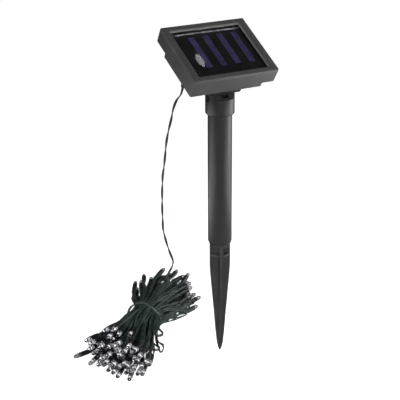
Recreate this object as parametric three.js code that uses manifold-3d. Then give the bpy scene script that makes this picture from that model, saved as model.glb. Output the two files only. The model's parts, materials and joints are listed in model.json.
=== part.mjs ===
// Solar string lights: a tilting solar head on a stake, its twisted lead, and the tied hank of lights.
// Millimetres, +Z up. The origin is the tip of the ground spike.
import * as THREE from 'three';
import { mergeVertices } from 'three/addons/utils/BufferGeometryUtils.js';
import Module from 'manifold-3d';

const wasm = await Module();
wasm.setup();

// ---------- driving dimensions ----------
const FIT = 0.3; // clearance between pieces that touch
const WALL = 1.8; // moulded wall thickness

const HEAD_WIDTH = 97.8;
const HEAD_DEPTH = 79.2;
const HEAD_CORNER = 2;
const HEAD_HEIGHT = 332.5; // centre of the bezel's top plane above the spike tip
const HEAD_YAW = THREE.MathUtils.degToRad(31);
const HEAD_TILT = THREE.MathUtils.degToRad(31);
const PIVOT_HEIGHT = 284;

const BEZEL_THICK = 1.8;
const OPENING = { width: 80, depth: 65, slope: 1.2 };
const LIP = { width: 93.4, depth: 74.8, innerWidth: 82.8, innerDepth: 67.8, bottom: -7.1 };
const COVER_TOP = -BEZEL_THICK - FIT;
const SKIRT_BOTTOM = -16.5;
const BELLY = { left: -HEAD_WIDTH / 2, right: 35, front: -HEAD_DEPTH / 2, back: 21, bottom: -22 };

const SCREW_X = 43.2;
const SCREW_Y = 34.2;
const SCREW = { shank: 1, head: 2.1, sunk: 0.2 }; // the small screws that hold the head together
const PILOT = SCREW.shank + FIT;
const SEAT = SCREW.head + FIT;
const POST_BOTTOM = -12;

const STRIP = { width: 6.7, front: -20, back: 24.5, first: -20.5, pitch: 16.6, count: 4 };
const GLASS_TOP = -2.1;
const STRIP_TOP = -3.9;
const CELL_BOARD_TOP = -4.6;

const CELL = { radius: 7.1, length: 49, nub: 1, x: -27, y: 8.5, z: -13.3 };
const DOOR = { left: -31, right: 32, front: -1, back: 18 };
const DOOR_SCREW_X = 28.5;

const BOARD = { left: -30, right: 36, front: 20.6, back: 36.4, top: -7.6, thick: 1.6 };
const BOARD_SCREWS = [-26, 32];
const BOARD_SCREW_Y = 28.5;
const SLIDER_X = -16.5;
const SLIDER_TRAVEL = 3;
const BUTTON_X = 12;
const SWITCH_Y = 30;

const BRACKET = { width: 38, depth: 27, y: -18.5, top: -22.3, bottom: -32.5, tongue: 7, eye: 6 };
const BRACKET_SCREW_X = 12;
const GLAND = { x: -43, y: -17, end: -28 };

const COLLAR_RADIUS = 15;
const COLLAR_BOTTOM = 265.6;
const COLLAR_SHOULDER = 283;
const FORK = { reach: 8.7, slope: THREE.MathUtils.degToRad(55) }; // measured from the pivot
const SLOT_WIDTH = 8.4;
const SLOT_FLOOR = 277.5;
const TUBE_RADIUS = 12.5;
const TUBE_BORE = 10.5;
const TUBE_BOTTOM = 124.4;
const TUBE_TOP = 273.5;
const PLUG_RADIUS = 8;

const FIN_THICK = 3.8;
const FIN_REACH = 10.7; // from the axis to a fin's outer edge where the stake tube starts
const FIN_TURN = THREE.MathUtils.degToRad(10);

const LEAD_DIAMETER = 2.7;
const HANK_HEADING = THREE.MathUtils.degToRad(65.8);
const HANK_WAIST = new THREE.Vector3(-80, 20, 0);
const HANK_NEAR = { s: -68, half: 36, rise: 22, middle: 23.5 };
const HANK_MID = { s: 0, half: 17.5, rise: 17, middle: 30 };
const HANK_FAR = { s: 60, half: 27, rise: 23, middle: 28 };
const TIE_WIRE = 1.1;
const LED = { base: 1.8, radius: 2.7, holder: 14, lens: 2.5, lensLength: 8 };

// The lead's free run from the gland down to the hank, chosen by hand.
const LEAD_ROUTE = [
  [-39, -19, 291], [-43.5, -16, 284], [-47, -13, 274], [-49.5, -8.5, 261],
  [-52.5, -4, 248], [-55, 1.5, 233], [-56.5, 7, 218], [-58, 11.5, 205],
  [-59.5, 15.5, 194], [-60.5, 21.5, 176], [-61, 28.5, 156], [-61, 34.5, 139],
  [-60.5, 40, 123], [-57.5, 46, 107], [-55, 50, 96], [-51, 54.5, 82],
  [-52, 57.5, 74], [-56, 61, 64.5], [-59.5, 64.5, 55], [-60.5, 65.5, 52],
];

// ---------- materials ----------
const finish = (color, roughness, metalness) => (
  new THREE.MeshStandardMaterial({ color, roughness, metalness })
);
const housing = finish('#454547', 0.55, 0);
const stakePlastic = finish('#3a3a3c', 0.45, 0);
const spikePlastic = finish('#2c2c2e', 0.5, 0);
const bracketPlastic = finish('#161617', 0.6, 0);
const rubber = finish('#151515', 0.85, 0);
const glassSheet = finish('#2a2a33', 0.06, 0);
const cellBlue = finish('#3c3660', 0.3, 0.1);
const ribbonMetal = finish('#c9c9cc', 0.3, 1);
const boardBlack = finish('#15151a', 0.4, 0);
const steel = finish('#9a9a9c', 0.35, 1);
const copperGreen = finish('#1f4a33', 0.5, 0);
const cellWrap = finish('#6f7f8c', 0.4, 0.3);
const cableGreen = finish('#2f3a34', 0.55, 0);
const holderPlastic = finish('#1c211f', 0.5, 0);
const lensClear = finish('#c9cdd2', 0.1, 0);

// ---------- shape helpers ----------
function toSolid(geometry) {
  const bare = geometry.clone();
  bare.deleteAttribute('normal');
  bare.deleteAttribute('uv');
  const merged = mergeVertices(bare, 1e-4);
  const corners = merged.index.array;
  const kept = [];
  for (let i = 0; i < corners.length; i += 3) {
    const [a, b, c] = [corners[i], corners[i + 1], corners[i + 2]];
    if (a !== b && b !== c && c !== a) kept.push(a, b, c);
  }
  return new wasm.Manifold(new wasm.Mesh({
    numProp: 3,
    vertProperties: new Float32Array(merged.attributes.position.array),
    triVerts: new Uint32Array(kept),
  }));
}

function toGeometry(solid) {
  const mesh = solid.getMesh();
  const geometry = new THREE.BufferGeometry();
  geometry.setAttribute('position', new THREE.BufferAttribute(mesh.vertProperties, 3));
  geometry.setIndex(new THREE.BufferAttribute(mesh.triVerts, 1));
  geometry.computeVertexNormals();
  return geometry;
}

function join(...geometries) {
  return toGeometry(geometries.map(toSolid).reduce((whole, next) => whole.add(next)));
}

function cut(geometry, ...tools) {
  return toGeometry(tools.map(toSolid).reduce((whole, next) => whole.subtract(next), toSolid(geometry)));
}

function common(first, second) {
  return toGeometry(toSolid(first).intersect(toSolid(second)));
}

function block([x0, x1], [y0, y1], [z0, z1]) {
  const box = new THREE.BoxGeometry(x1 - x0, y1 - y0, z1 - z0);
  return box.translate((x0 + x1) / 2, (y0 + y1) / 2, (z0 + z1) / 2);
}

function rod(radius, z0, z1, x = 0, y = 0, sides = 24) {
  const cylinder = new THREE.CylinderGeometry(radius, radius, z1 - z0, sides);
  return cylinder.rotateX(Math.PI / 2).translate(x, y, (z0 + z1) / 2);
}

function crossRod(radius, x0, x1, z, sides = 24) {
  const cylinder = new THREE.CylinderGeometry(radius, radius, x1 - x0, sides);
  return cylinder.rotateZ(Math.PI / 2).translate((x0 + x1) / 2, 0, z);
}

function roundedOutline(width, depth, corner, x = 0, y = 0) {
  const right = width / 2;
  const back = depth / 2;
  const outline = new THREE.Shape();
  outline.absarc(x + right - corner, y - back + corner, corner, -Math.PI / 2, 0);
  outline.absarc(x + right - corner, y + back - corner, corner, 0, Math.PI / 2);
  outline.absarc(x - right + corner, y + back - corner, corner, Math.PI / 2, Math.PI);
  outline.absarc(x - right + corner, y - back + corner, corner, Math.PI, 1.5 * Math.PI);
  return outline;
}

function slab(outline, z0, z1) {
  const options = { depth: z1 - z0, bevelEnabled: false, curveSegments: 3 };
  return new THREE.ExtrudeGeometry(outline, options).translate(0, 0, z0);
}

function turned(profile, sides = 36) {
  const points = profile.map(([radius, height]) => new THREE.Vector2(radius, height));
  return new THREE.LatheGeometry(points, sides).rotateX(Math.PI / 2);
}

// A box whose top is wider than its bottom by `slope` on every side.
function flaredBlock(width, depth, slope, z0, z1) {
  const box = block([-width / 2, width / 2], [-depth / 2, depth / 2], [z0, z1]);
  const place = box.attributes.position;
  const middle = (z0 + z1) / 2;
  for (let i = 0; i < place.count; i += 1) {
    const grow = place.getZ(i) > middle ? slope : 0;
    place.setX(i, place.getX(i) + Math.sign(place.getX(i)) * grow);
    place.setY(i, place.getY(i) + Math.sign(place.getY(i)) * grow);
  }
  return box;
}

function piece(group, name, geometry, material) {
  const mesh = new THREE.Mesh(geometry, material);
  mesh.name = name;
  group.add(mesh);
  return mesh;
}

function screw(headRadius, headThick, shankRadius, length) {
  return turned([
    [0, 0], [headRadius * 0.8, 0], [headRadius, headThick * 0.4], [headRadius, headThick],
    [shankRadius, headThick], [shankRadius, length - shankRadius], [0, length],
  ], 12);
}

// ---------- frame: the stake, the swivel on it and the head on the swivel ----------
const stringLights = new THREE.Group();
const swivel = new THREE.Group();
swivel.rotation.z = HEAD_YAW;
const head = new THREE.Group();
head.position.z = HEAD_HEIGHT;
head.rotation.x = HEAD_TILT;
swivel.add(head);
stringLights.add(swivel);

const pivotDrop = HEAD_HEIGHT - PIVOT_HEIGHT;
const pivotInHead = { y: -pivotDrop * Math.sin(HEAD_TILT), z: -pivotDrop * Math.cos(HEAD_TILT) };

const corners = [[-1, -1], [1, -1], [1, 1], [-1, 1]].map(([sideX, sideY]) => {
  const onBelly = sideX < 0 && sideY < 0;
  return { x: sideX * SCREW_X, y: sideY * SCREW_Y, underside: onBelly ? BELLY.bottom : SKIRT_BOTTOM };
});

// ---------- stake ----------
function groundSpike() {
  const edge = [
    [0, 0], [0.8, 0], [1.8, 3.5], [3.2, 10.5], [4.4, 22], [6.2, 45.6],
    [9.2, 80], [FIN_REACH, 100], [FIN_REACH, TUBE_BOTTOM - FIT], [0, TUBE_BOTTOM - FIT],
  ];
  const reach = 12;
  const half = FIN_THICK / 2;
  const height = [-1, TUBE_BOTTOM];
  const fins = join(
    block([-reach, reach], [-half, half], height),
    block([-half, half], [-reach, reach], height),
  );
  const blade = common(fins, turned(edge, 48));
  const disc = rod(FIN_REACH - 0.5, 112.3, 114, 0, 0, 36);
  const plug = rod(PLUG_RADIUS, 120, 145);
  return join(blade, disc, plug).rotateZ(FIN_TURN);
}

function stakeTube() {
  const chamfer = 3.9;
  const floor = 131;
  return turned([
    [PLUG_RADIUS + FIT, TUBE_BOTTOM], [FIN_REACH, TUBE_BOTTOM], [TUBE_RADIUS, TUBE_BOTTOM + chamfer],
    [TUBE_RADIUS, TUBE_TOP], [TUBE_BORE, TUBE_TOP], [TUBE_BORE, floor], [PLUG_RADIUS + FIT, floor],
    [PLUG_RADIUS + FIT, TUBE_BOTTOM],
  ]);
}

piece(stringLights, 'ground_spike', groundSpike(), spikePlastic);
piece(stringLights, 'stake_tube', stakeTube(), stakePlastic);

// ---------- swivel collar and its pivot screw ----------
const PIVOT = { shank: 2, head: 3.8, seat: 11.3 };

// The part of the collar above its shoulder: a full cylinder, flat on top at the back and rounded
// off round the pivot in front, so that the bracket clears it as the head tips forward.
function collarTop() {
  const low = -5;
  const frontLow = (Math.cos(FORK.slope) * low - FORK.reach) / Math.sin(FORK.slope);
  const side = new THREE.Shape();
  side.moveTo(frontLow, low);
  side.lineTo(COLLAR_RADIUS + 1, low);
  side.lineTo(COLLAR_RADIUS + 1, FORK.reach);
  side.absarc(0, 0, FORK.reach, Math.PI / 2, Math.PI / 2 + FORK.slope);
  const wide = 2 * COLLAR_RADIUS + 2;
  const wedge = new THREE.ExtrudeGeometry(side, { depth: wide, bevelEnabled: false, curveSegments: 8 });
  wedge.translate(0, 0, -wide / 2).rotateY(Math.PI / 2).rotateX(Math.PI / 2).translate(0, 0, PIVOT_HEIGHT);
  return common(wedge, rod(COLLAR_RADIUS, 275, 295, 0, 0, 36));
}

function swivelCollar() {
  const body = turned([
    [0, COLLAR_BOTTOM], [14.2, COLLAR_BOTTOM], [COLLAR_RADIUS, COLLAR_BOTTOM + 2.9],
    [COLLAR_RADIUS, COLLAR_SHOULDER], [0, COLLAR_SHOULDER],
  ]);
  const bore = rod(TUBE_RADIUS + FIT, 260, TUBE_TOP + 0.5, 0, 0, 36);
  const slot = block([-SLOT_WIDTH / 2, SLOT_WIDTH / 2], [-20, 20], [SLOT_FLOOR, 300]);
  const hole = crossRod(PIVOT.shank + FIT, -20, 20, PIVOT_HEIGHT);
  const seats = [-1, 1].map((side) => {
    const [near, far] = [side * PIVOT.seat, side * 20];
    return crossRod(PIVOT.head + 0.4, Math.min(near, far), Math.max(near, far), PIVOT_HEIGHT);
  });
  return cut(join(body, collarTop()), bore, slot, hole, ...seats);
}

function pivotScrew() {
  const under = PIVOT.seat + FIT;
  const top = crossRod(PIVOT.head, -under - 3, -under, PIVOT_HEIGHT, 20);
  return join(top, crossRod(PIVOT.shank, -under - 1, 14.4, PIVOT_HEIGHT, 20));
}

function pivotNut() {
  const under = PIVOT.seat + FIT;
  const hex = crossRod(PIVOT.head, under, under + 2.4, PIVOT_HEIGHT, 6);
  return cut(hex, crossRod(PIVOT.shank + FIT, 0, 20, PIVOT_HEIGHT));
}

piece(swivel, 'swivel_collar', swivelCollar(), stakePlastic);
piece(swivel, 'pivot_screw', pivotScrew(), steel);
piece(swivel, 'pivot_nut', pivotNut(), steel);

// ---------- head: bezel, glass and cells ----------
function bezelFrame() {
  const plate = slab(roundedOutline(HEAD_WIDTH, HEAD_DEPTH, HEAD_CORNER), -BEZEL_THICK, 0);
  const lip = slab(roundedOutline(LIP.width, LIP.depth, 2.2), LIP.bottom, -BEZEL_THICK / 2);
  const posts = corners.map(({ x, y }) => rod(2.2, POST_BOTTOM, LIP.bottom + 1, x, y, 12));
  const opening = flaredBlock(OPENING.width, OPENING.depth, OPENING.slope, -BEZEL_THICK - 1, 0.001);
  const pocket = slab(roundedOutline(LIP.innerWidth, LIP.innerDepth, 1), LIP.bottom - 1, -BEZEL_THICK);
  const pilots = corners.map(({ x, y }) => rod(PILOT, POST_BOTTOM - 1, -4, x, y, 10));
  return cut(join(plate, lip, ...posts), opening, pocket, ...pilots);
}

function insideLip(shrink, z0, z1) {
  const width = LIP.innerWidth - 2 * shrink;
  const depth = LIP.innerDepth - 2 * shrink;
  return slab(roundedOutline(width, depth, 1), z0, z1);
}

function panelGasket() {
  const [bottom, top] = [LIP.bottom, LIP.bottom + 1];
  return cut(insideLip(FIT + 0.1, bottom, top), insideLip(2.4, bottom - 1, top + 1));
}

piece(head, 'bezel_frame', bezelFrame(), housing);
piece(head, 'solar_glass', insideLip(FIT, GLASS_TOP - 1.5, GLASS_TOP), glassSheet);
for (let i = 0; i < STRIP.count; i += 1) {
  const x = STRIP.first + i * STRIP.pitch;
  const across = [x - STRIP.width / 2, x + STRIP.width / 2];
  const strip = block(across, [STRIP.front, STRIP.back], [STRIP_TOP - 0.4, STRIP_TOP]);
  piece(head, `cell_strip_${i + 1}`, strip, cellBlue);
}
piece(head, 'cell_ribbon', block([-36, 40], [28.9, 30.1], [STRIP_TOP - 0.4, STRIP_TOP]), ribbonMetal);
piece(head, 'cell_board', insideLip(FIT + 0.1, CELL_BOARD_TOP - 1.2, CELL_BOARD_TOP), boardBlack);
piece(head, 'panel_gasket', panelGasket(), rubber);

// ---------- head: rear cover, battery and door ----------
const bellyWidth = BELLY.right - BELLY.left;
const bellyDepth = BELLY.back - BELLY.front;
const bellyX = (BELLY.left + BELLY.right) / 2;
const bellyY = (BELLY.front + BELLY.back) / 2;
const floorTop = BELLY.bottom + WALL;
const skirtTop = SKIRT_BOTTOM + WALL;
const bracketScrews = [-BRACKET_SCREW_X, BRACKET_SCREW_X];

function bellySlab(inset, z0, z1) {
  const [width, depth] = [bellyWidth - 2 * inset, bellyDepth - 2 * inset];
  return slab(roundedOutline(width, depth, HEAD_CORNER - inset, bellyX, bellyY), z0, z1);
}

function traySlab(inset, z0, z1) {
  const [width, depth] = [HEAD_WIDTH - 2 * inset, HEAD_DEPTH - 2 * inset];
  return slab(roundedOutline(width, depth, HEAD_CORNER - inset), z0, z1);
}

function rearCover() {
  const shell = cut(
    join(traySlab(0, SKIRT_BOTTOM, COVER_TOP), bellySlab(0, BELLY.bottom, SKIRT_BOTTOM + 1)),
    traySlab(WALL, skirtTop, 1),
    bellySlab(WALL, floorTop, skirtTop + 1),
  );
  const bosses = corners.map(({ x, y, underside }) => rod(3.2, underside, POST_BOTTOM - FIT, x, y, 12));
  const boardPosts = BOARD_SCREWS.map((x) => (
    rod(2.4, SKIRT_BOTTOM + 0.5, BOARD.top - BOARD.thick - FIT, x, BOARD_SCREW_Y, 12)
  ));
  const cradle = block([-34.5, BELLY.right - 1], [-2.6, -1.5], [BELLY.bottom + 0.5, -9]);
  const springWall = block([-35.5, -34.4], [-2.6, BELLY.back - 1], [BELLY.bottom + 0.5, -9]);
  const plateWall = block([24.1, 25], [-2.6, BELLY.back - 1], [-20, -9]);
  const doorPost = block([25.2, BELLY.right - 1], [5, 12], [-16.4, -12]);
  const body = join(shell, ...bosses, ...boardPosts, cradle, springWall, plateWall, doorPost);
  const cornerHoles = corners.flatMap(({ x, y, underside }) => [
    rod(PILOT, underside - 1, 0, x, y, 10),
    rod(SEAT, underside - 1, underside + 2, x, y, 12),
  ]);
  const boardHoles = BOARD_SCREWS.map((x) => (
    rod(PILOT, SKIRT_BOTTOM + 1.5, 0, x, BOARD_SCREW_Y, 10)
  ));
  const bracketHoles = bracketScrews.map((x) => (
    rod(PILOT, BELLY.bottom - 1, floorTop + 1, x, BRACKET.y, 10)
  ));
  const sliderSlot = block(
    [SLIDER_X - 1.5, SLIDER_X + SLIDER_TRAVEL + 1.5],
    [SWITCH_Y - 1.4, SWITCH_Y + 1.4],
    [SKIRT_BOTTOM - 1, skirtTop + 1],
  );
  const buttonHole = rod(3 + FIT, SKIRT_BOTTOM - 1, skirtTop + 0.5, BUTTON_X, SWITCH_Y);
  const glandHole = rod(2.4 + FIT, BELLY.bottom - 1, floorTop + 0.5, GLAND.x, GLAND.y, 20);
  const doorway = block(
    [DOOR.left - FIT, DOOR.right + FIT],
    [DOOR.front - FIT, DOOR.back + FIT],
    [BELLY.bottom - 1, floorTop + 0.1],
  );
  const doorScrewHole = rod(PILOT, -20, -13, DOOR_SCREW_X, CELL.y, 10);
  return cut(
    body, ...cornerHoles, ...boardHoles, ...bracketHoles,
    sliderSlot, buttonHole, glandHole, doorway, doorScrewHole,
  );
}

function batteryDoor() {
  const plate = block([DOOR.left, DOOR.right], [DOOR.front, DOOR.back], [BELLY.bottom, BELLY.bottom + 1.5]);
  const collar = rod(3.2, BELLY.bottom + 0.5, -17, DOOR_SCREW_X, CELL.y, 12);
  const shaft = rod(PILOT, BELLY.bottom - 1, -16, DOOR_SCREW_X, CELL.y, 10);
  const seat = rod(SEAT, BELLY.bottom - 1, BELLY.bottom + 1.7, DOOR_SCREW_X, CELL.y, 12);
  return cut(join(plate, collar), shaft, seat);
}

function batteryCell() {
  const end = CELL.length;
  const can = turned([
    [0, 0], [5.5, 0], [CELL.radius, 0.6], [CELL.radius, end - 0.6], [6.2, end],
    [2.7, end], [2.7, end + CELL.nub], [0, end + CELL.nub],
  ], 28);
  return can.rotateY(Math.PI / 2).translate(CELL.x, CELL.y, CELL.z);
}

class SpringCurve extends THREE.Curve {
  getPoint(t, target = new THREE.Vector3()) {
    const turns = 3.5;
    const angle = 2 * Math.PI * turns * t;
    const radius = 2.2 + 2.4 * t;
    return target.set(-5.6 * t, radius * Math.cos(angle), radius * Math.sin(angle));
  }
}

function contactSpring() {
  const section = new THREE.Shape().absarc(0, 0, 0.35, 0, 2 * Math.PI);
  const options = { steps: 42, curveSegments: 3, extrudePath: new SpringCurve() };
  return new THREE.ExtrudeGeometry(section, options).translate(CELL.x - 0.8, CELL.y, CELL.z);
}

piece(head, 'rear_cover', rearCover(), housing);
corners.forEach(({ x, y, underside }, i) => {
  const reach = -5 - underside - SCREW.sunk;
  const geometry = screw(SCREW.head, 1.5, SCREW.shank, reach).translate(x, y, underside + SCREW.sunk);
  piece(head, `cover_screw_${i + 1}`, geometry, steel);
});
piece(head, 'battery_door', batteryDoor(), housing);
const doorScrew = screw(SCREW.head, 1.2, SCREW.shank, 8);
piece(head, 'door_screw', doorScrew.translate(DOOR_SCREW_X, CELL.y, BELLY.bottom + SCREW.sunk), steel);
piece(head, 'battery_cell', batteryCell(), cellWrap);
piece(head, 'contact_spring', contactSpring(), steel);
piece(head, 'contact_plate', block([23.35, 23.75], [4, 13], [-19.4, -8.5]), ribbonMetal);

// ---------- head: circuit board and switches ----------
const boardUnder = BOARD.top - BOARD.thick;

function circuitBoard() {
  const sheet = block([BOARD.left, BOARD.right], [BOARD.front, BOARD.back], [boardUnder, BOARD.top]);
  return cut(sheet, ...BOARD_SCREWS.map((x) => rod(PILOT, -20, 0, x, BOARD_SCREW_Y, 10)));
}

function tactSwitch() {
  const top = boardUnder - FIT;
  const body = block([BUTTON_X - 3.1, BUTTON_X + 3.1], [SWITCH_Y - 3.1, SWITCH_Y + 3.1], [top - 2.1, top]);
  return join(body, rod(1.6, top - 2.6, top - 1, BUTTON_X, SWITCH_Y, 12));
}

function powerSlider() {
  const stem = block([SLIDER_X - 1.2, SLIDER_X + 1.2], [SWITCH_Y - 1.1, SWITCH_Y + 1.1], [-17.5, skirtTop]);
  const knob = [-18.3, SKIRT_BOTTOM - FIT];
  return join(stem, block([SLIDER_X - 2.1, SLIDER_X + 2.1], [SWITCH_Y - 1.6, SWITCH_Y + 1.6], knob));
}

function modeButton() {
  const flange = rod(3.9, skirtTop + FIT, skirtTop + FIT + 1, BUTTON_X, SWITCH_Y);
  return join(flange, rod(3, SKIRT_BOTTOM - 1.1, skirtTop + FIT + 0.5, BUTTON_X, SWITCH_Y));
}

piece(head, 'circuit_board', circuitBoard(), copperGreen);
BOARD_SCREWS.forEach((x, i) => {
  const driver = screw(2, 1.1, SCREW.shank, 7.2).rotateX(Math.PI);
  piece(head, `board_screw_${i + 1}`, driver.translate(x, BOARD_SCREW_Y, BOARD.top + FIT + 1.1), steel);
});
const onBoard = BOARD.top + FIT;
piece(head, 'controller_chip', block([-5, 1], [26, 31], [onBoard, onBoard + 1.1]), boardBlack);
piece(head, 'boost_inductor', rod(3, -13.5, boardUnder - FIT, 22, BOARD_SCREW_Y), holderPlastic);
const slideCase = [[-19.3, -10.7], [SWITCH_Y - 1.9, SWITCH_Y + 1.9], [skirtTop + FIT, boardUnder - FIT]];
piece(head, 'switch_body', block(...slideCase), steel);
piece(head, 'tact_switch', tactSwitch(), boardBlack);
piece(head, 'power_slider', powerSlider(), bracketPlastic);
piece(head, 'mode_button', modeButton(), rubber);

// ---------- head: tilt bracket and cable gland ----------
function tiltBracket() {
  const outline = roundedOutline(BRACKET.width, BRACKET.depth, 3, 0, BRACKET.y);
  const base = slab(outline, BRACKET.bottom, BRACKET.top);
  const profile = new THREE.Shape();
  profile.moveTo(pivotInHead.y + BRACKET.eye, BRACKET.bottom + 1);
  profile.lineTo(pivotInHead.y - BRACKET.eye, BRACKET.bottom + 1);
  profile.absarc(pivotInHead.y, pivotInHead.z, BRACKET.eye, Math.PI, 2 * Math.PI);
  const options = { depth: BRACKET.tongue, bevelEnabled: false, curveSegments: 16 };
  const tongue = new THREE.ExtrudeGeometry(profile, options);
  tongue.translate(0, 0, -BRACKET.tongue / 2).rotateY(Math.PI / 2).rotateX(Math.PI / 2);
  const eye = crossRod(PIVOT.shank + FIT, -20, 20, pivotInHead.z).translate(0, pivotInHead.y, 0);
  const blind = bracketScrews.map((x) => (
    rod(PILOT, BRACKET.bottom + 1.2, BRACKET.top + 1, x, BRACKET.y, 10)
  ));
  return cut(join(base, tongue), eye, ...blind);
}

function cableGland() {
  const profile = [
    [0, GLAND.end], [2.3, GLAND.end], [2.9, BELLY.bottom - 1.6], [3.4, BELLY.bottom - FIT],
    [2.4, BELLY.bottom - FIT], [2.4, floorTop + FIT], [2.9, floorTop + FIT],
    [2.9, floorTop + 1.3], [0, floorTop + 1.3],
  ];
  return turned(profile, 20).translate(GLAND.x, GLAND.y, 0);
}

piece(head, 'tilt_bracket', tiltBracket(), bracketPlastic);
bracketScrews.forEach((x, i) => {
  const driver = screw(2.4, 1.4, SCREW.shank, 11).rotateX(Math.PI);
  piece(head, `bracket_screw_${i + 1}`, driver.translate(x, BRACKET.y, floorTop + FIT + 1.4), steel);
});
piece(head, 'cable_gland', cableGland(), rubber);

// ---------- lead ----------
function leadWire() {
  stringLights.updateMatrixWorld(true);
  const start = head.localToWorld(new THREE.Vector3(GLAND.x, GLAND.y, GLAND.end - FIT));
  const route = [start, ...LEAD_ROUTE.map(([x, y, z]) => new THREE.Vector3(x, y, z))];
  const section = new THREE.Shape().absarc(0, 0, LEAD_DIAMETER / 2, 0, 2 * Math.PI);
  const extrudePath = new THREE.CatmullRomCurve3(route);
  return new THREE.ExtrudeGeometry(section, { steps: 46, curveSegments: 4, extrudePath });
}

piece(stringLights, 'lead_wire', leadWire(), cableGreen);

// ---------- hank of lights ----------
const hank = new THREE.Group();
hank.position.copy(HANK_WAIST);
hank.rotation.z = HANK_HEADING;
stringLights.add(hank);

// Half width, half height and middle height of the hank at the distance s along it.
function hankSection(s) {
  const end = s < 0 ? HANK_NEAR : HANK_FAR;
  const share = Math.abs(s / end.s) ** 1.6;
  const mix = (key) => HANK_MID[key] + (end[key] - HANK_MID[key]) * share;
  return { half: mix('half'), rise: mix('rise'), middle: mix('middle') };
}

function hankWire() {
  const length = HANK_FAR.s - HANK_NEAR.s;
  const drum = new THREE.CylinderGeometry(1, 1, length, 24, 8);
  drum.rotateZ(-Math.PI / 2).translate((HANK_FAR.s + HANK_NEAR.s) / 2, 0, 0);
  const place = drum.attributes.position;
  for (let i = 0; i < place.count; i += 1) {
    const { half, rise, middle } = hankSection(place.getX(i));
    place.setY(i, place.getY(i) * half);
    place.setZ(i, middle + place.getZ(i) * rise);
  }
  return drum;
}

function hankTie() {
  const ring = new THREE.TorusGeometry(HANK_MID.half + 0.4 + TIE_WIRE, TIE_WIRE, 6, 28);
  return ring.rotateY(Math.PI / 2).translate(0, 0, HANK_MID.middle);
}

function ledHolder() {
  return turned([
    [0, 0], [LED.base, 0], [LED.radius - 0.3, 3], [LED.radius, 5],
    [LED.radius, LED.holder], [0, LED.holder],
  ], 12);
}

function ledLens() {
  const dome = LED.lensLength - LED.lens;
  const profile = [[0, 0], [LED.lens, 0], [LED.lens, dome]];
  for (let i = 1; i < 4; i += 1) {
    const angle = (i * Math.PI) / 8;
    profile.push([LED.lens * Math.cos(angle), dome + LED.lens * Math.sin(angle)]);
  }
  return turned([...profile, [0, LED.lensLength]], 12).translate(0, 0, LED.holder + FIT);
}

// Lights that stand at the two ends of the hank: [end, offset across it, height above the floor].
const LIGHTS = [
  [HANK_NEAR, 31, 15], [HANK_NEAR, 16, 34], [HANK_NEAR, 0, 8],
  [HANK_NEAR, -15, 32], [HANK_NEAR, -30, 18],
  [HANK_FAR, 22, 30], [HANK_FAR, 1, 40], [HANK_FAR, -21, 24],
];
const FAN = THREE.MathUtils.degToRad(0.8); // turn of a light for each millimetre of its offset

piece(hank, 'hank_wire', hankWire(), cableGreen);
piece(hank, 'hank_tie', hankTie(), cableGreen);
LIGHTS.forEach(([end, across, height], i) => {
  const outward = Math.sign(end.s);
  const light = new THREE.Group();
  light.position.set(end.s + outward * 2, across, height);
  light.rotation.set(0, (outward * Math.PI) / 2, outward * across * FAN, 'ZYX');
  hank.add(light);
  piece(light, `led_holder_${i + 1}`, ledHolder(), holderPlastic);
  piece(light, `led_lens_${i + 1}`, ledLens(), lensClear);
});

export default stringLights;
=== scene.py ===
"""Solar string lights: the solar head on its stake, the lead, and the tied hank of lights.

Lengths in this file are millimetres until they reach a mesh, where MM turns them into metres.
"""
import json
import math

import bmesh
import bpy
import numpy as np
from mathutils import Matrix, Vector


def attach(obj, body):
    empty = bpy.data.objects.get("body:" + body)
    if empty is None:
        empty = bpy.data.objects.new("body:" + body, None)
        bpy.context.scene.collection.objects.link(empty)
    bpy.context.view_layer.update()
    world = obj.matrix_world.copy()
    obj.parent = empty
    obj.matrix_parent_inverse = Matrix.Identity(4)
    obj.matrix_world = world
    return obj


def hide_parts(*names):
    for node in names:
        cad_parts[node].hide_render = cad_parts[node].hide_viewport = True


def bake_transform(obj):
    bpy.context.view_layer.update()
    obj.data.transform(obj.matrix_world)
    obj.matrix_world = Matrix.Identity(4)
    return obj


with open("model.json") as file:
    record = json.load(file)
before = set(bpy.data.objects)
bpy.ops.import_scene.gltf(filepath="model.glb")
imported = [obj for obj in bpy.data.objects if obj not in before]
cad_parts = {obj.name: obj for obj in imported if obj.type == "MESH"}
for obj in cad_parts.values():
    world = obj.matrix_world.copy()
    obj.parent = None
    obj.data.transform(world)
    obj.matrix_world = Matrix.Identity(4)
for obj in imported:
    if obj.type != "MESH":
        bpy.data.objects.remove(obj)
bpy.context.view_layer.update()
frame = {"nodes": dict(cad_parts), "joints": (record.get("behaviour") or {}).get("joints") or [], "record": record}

MM = 0.001
TAU = 2 * math.pi

# ---------------------------------------------------------------- camera
CAMERA_AT = (-20.6, -1174.2, 594.8)
CAMERA_DOWN = math.radians(19.77)
CAMERA_ROLL = math.radians(-0.31)
CAMERA_LENS = 108


def make_camera():
    data = bpy.data.cameras.new("camera")
    data.lens = CAMERA_LENS
    data.sensor_width = 36
    data.clip_start = 0.05
    data.clip_end = 20
    camera = bpy.data.objects.new("camera", data)
    bpy.context.scene.collection.objects.link(camera)
    level = Matrix.Rotation(math.radians(90) - CAMERA_DOWN, 4, "X")
    roll = Matrix.Rotation(CAMERA_ROLL, 4, "Z")
    camera.matrix_world = Matrix.Translation(Vector(CAMERA_AT) * MM) @ level @ roll
    bpy.context.scene.camera = camera


make_camera()

# ---------------------------------------------------------------- materials


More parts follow.
